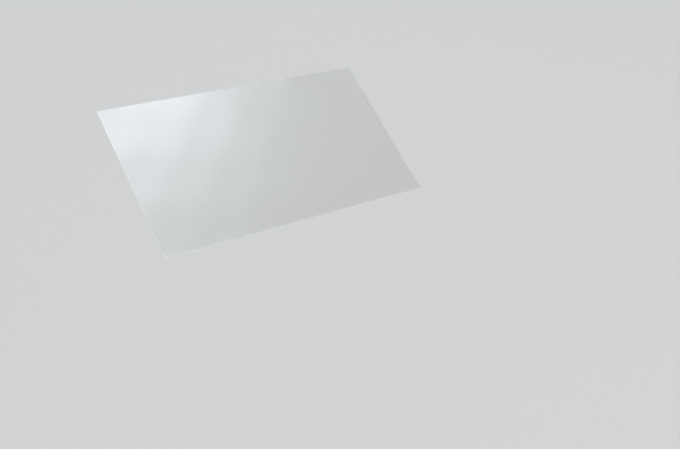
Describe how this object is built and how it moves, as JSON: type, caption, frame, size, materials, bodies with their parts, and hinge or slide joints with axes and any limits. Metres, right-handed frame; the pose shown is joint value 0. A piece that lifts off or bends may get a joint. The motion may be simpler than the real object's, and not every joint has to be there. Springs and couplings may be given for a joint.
{
  "type": "laptop screen blue light filter",
  "caption": "Thin flat rectangle of clear plastic film with a matte front and small rounded corners, laid over a laptop display to cut blue light and glare.",
  "frame": {"origin": "centre of the smooth back face, which is the face that the sheet lies on", "axes": "+X along the sheet's width, +Y towards the edge that goes to the top of the display, +Z out of the matte front face"},
  "size_m": [0.344, 0.194, 0.0004],
  "materials": {
    "filter_film": "clear polyester film with a fine matte front face, a smooth back face and a faint blue cast in what it reflects"
  },
  "bodies": {
    "root": {"filter_sheet": "filter_film"}
  },
  "joints": []
}
